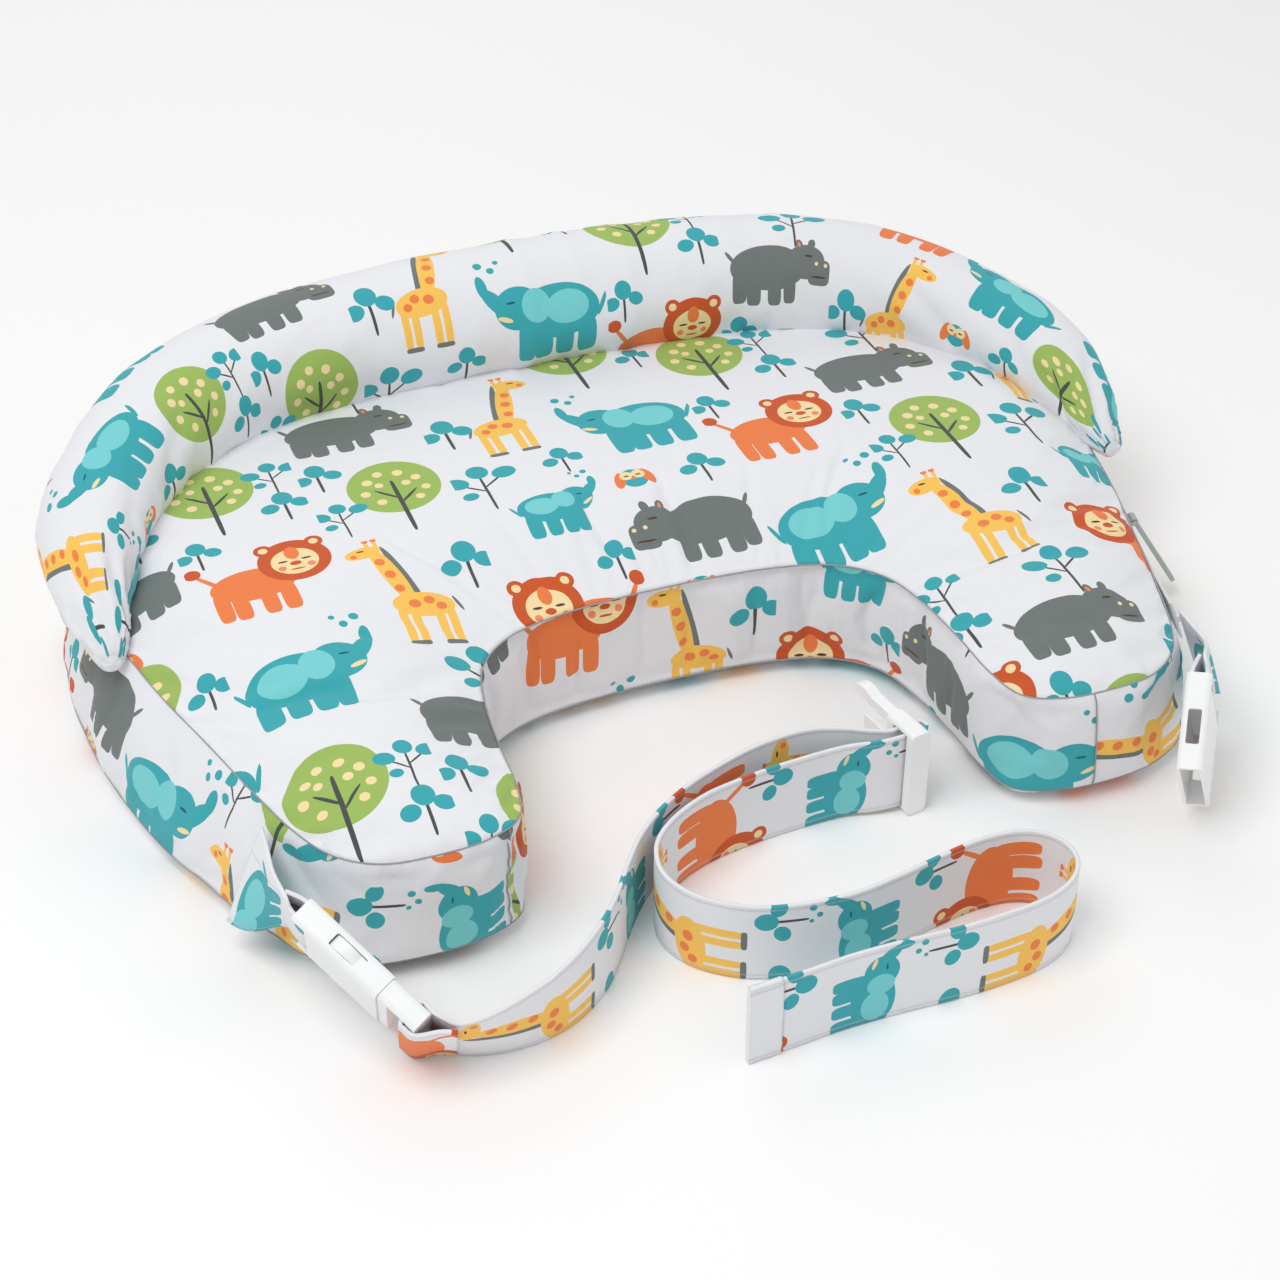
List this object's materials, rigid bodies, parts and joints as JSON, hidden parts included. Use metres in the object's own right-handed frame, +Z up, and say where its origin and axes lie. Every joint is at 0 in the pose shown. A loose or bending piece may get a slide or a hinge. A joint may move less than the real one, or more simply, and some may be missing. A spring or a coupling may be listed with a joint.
{
  "type": "nursing pillow",
  "caption": "U-shaped feeding cushion with a raised back roll, printed zipped cover and a side-release waist belt.",
  "frame": {"origin": "on the flat underside, on the mirror line of the U", "axes": "+X to the wearer's side with the zip, +Y to the back of the U, +Z up from the floor"},
  "size_m": [0.6465, 0.5803, 0.1591],
  "materials": {
    "print_fabric": "cotton printed with small animals and trees",
    "plain_fabric": "plain white cotton",
    "filling": "white fibre filling in its own liner",
    "white_plastic": "moulded white acetal",
    "zip_tape": "woven tape",
    "zip_plastic": "nylon coil",
    "grey_plastic": "soft grey"
  },
  "bodies": {
    "cushion": {"bottom_panel": "plain_fabric", "inner_pillow": "filling", "inner_band": "print_fabric", "end_band_left": "print_fabric", "end_band_right": "print_fabric", "outer_band_left": "print_fabric", "outer_band_right": "print_fabric", "roll_seat": "plain_fabric", "bolster_cover": "print_fabric", "bolster_filling": "filling", "top_panel": "print_fabric", "left_socket": "white_plastic", "left_strap_tab": "print_fabric", "right_strap_tab": "print_fabric", "left_tab_loop": "print_fabric", "right_tab_loop": "print_fabric", "zip_tape_upper": "zip_tape", "zip_tape_lower": "zip_tape", "zip_teeth": "zip_plastic", "zip_front_stop": "zip_plastic", "zip_back_stop": "zip_plastic"},
    "belt": {"belt_strap": "print_fabric", "belt_end_hem": "plain_fabric", "snap_cap": "white_plastic", "left_plug": "white_plastic"},
    "left_prong_top": {"left_prong_top": "white_plastic"},
    "left_prong_bottom": {"left_prong_bottom": "white_plastic"},
    "right_plug": {"right_plug": "white_plastic"},
    "right_prong_top": {"right_prong_top": "white_plastic"},
    "right_prong_bottom": {"right_prong_bottom": "white_plastic"},
    "right_socket": {"right_socket": "white_plastic"},
    "zip_slider": {"zip_slider": "grey_plastic"},
    "zip_pull": {"zip_pull": "grey_plastic"}
  },
  "joints": [
    {"name": "belt_release", "type": "slide", "parent": "cushion", "child": "belt", "axis": [0.497, -0.761, -0.417], "range_m": [0, 0.036]},
    {"name": "left_prong_top_flex", "type": "hinge", "parent": "belt", "child": "left_prong_top", "pos_m": [-0.23225, -0.28292, 0.05506], "axis": [-0.8589, -0.3628, -0.3615], "range_deg": [0, 20]},
    {"name": "left_prong_bottom_flex", "type": "hinge", "parent": "belt", "child": "left_prong_bottom", "pos_m": [-0.22683, -0.25936, 0.01853], "axis": [0.8589, 0.3628, 0.3615], "range_deg": [0, 20]},
    {"name": "right_plug_swing", "type": "hinge", "parent": "belt", "child": "right_plug", "pos_m": [0.08602, -0.19144, 0.0275], "axis": [0, 0, 1], "range_deg": [-10, 10]},
    {"name": "right_prong_top_flex", "type": "hinge", "parent": "right_plug", "child": "right_prong_top", "pos_m": [0.0835, -0.17594, 0.0494], "axis": [-0.9871, -0.16, 0], "range_deg": [0, 12], "stiffness_Nm_per_rad": 0.5},
    {"name": "right_prong_bottom_flex", "type": "hinge", "parent": "right_plug", "child": "right_prong_bottom", "pos_m": [0.0835, -0.17594, 0.0056], "axis": [0.9871, 0.16, 0], "range_deg": [0, 12], "stiffness_Nm_per_rad": 0.5},
    {"name": "right_socket_swing", "type": "hinge", "parent": "cushion", "child": "right_socket", "pos_m": [0.24087, -0.23064, 0.05814], "axis": [-0.4126, -0.3359, 0.8467], "range_deg": [-10, 50]},
    {"name": "zip_slide", "type": "slide", "parent": "cushion", "child": "zip_slider", "axis": [0.2267, 0.974, 0], "range_m": [-0.088, 0.026]},
    {"name": "zip_pull_swing", "type": "hinge", "parent": "zip_slider", "child": "zip_pull", "pos_m": [0.2942, -0.06498, 0.05795], "axis": [-0.2267, -0.974, 0], "range_deg": [0, 100]}
  ],
  "couplings": [
    {"joint": "left_prong_top_flex", "follows": "belt_release", "rad_per_m": 9.6},
    {"joint": "left_prong_bottom_flex", "follows": "belt_release", "rad_per_m": 9.6}
  ]
}
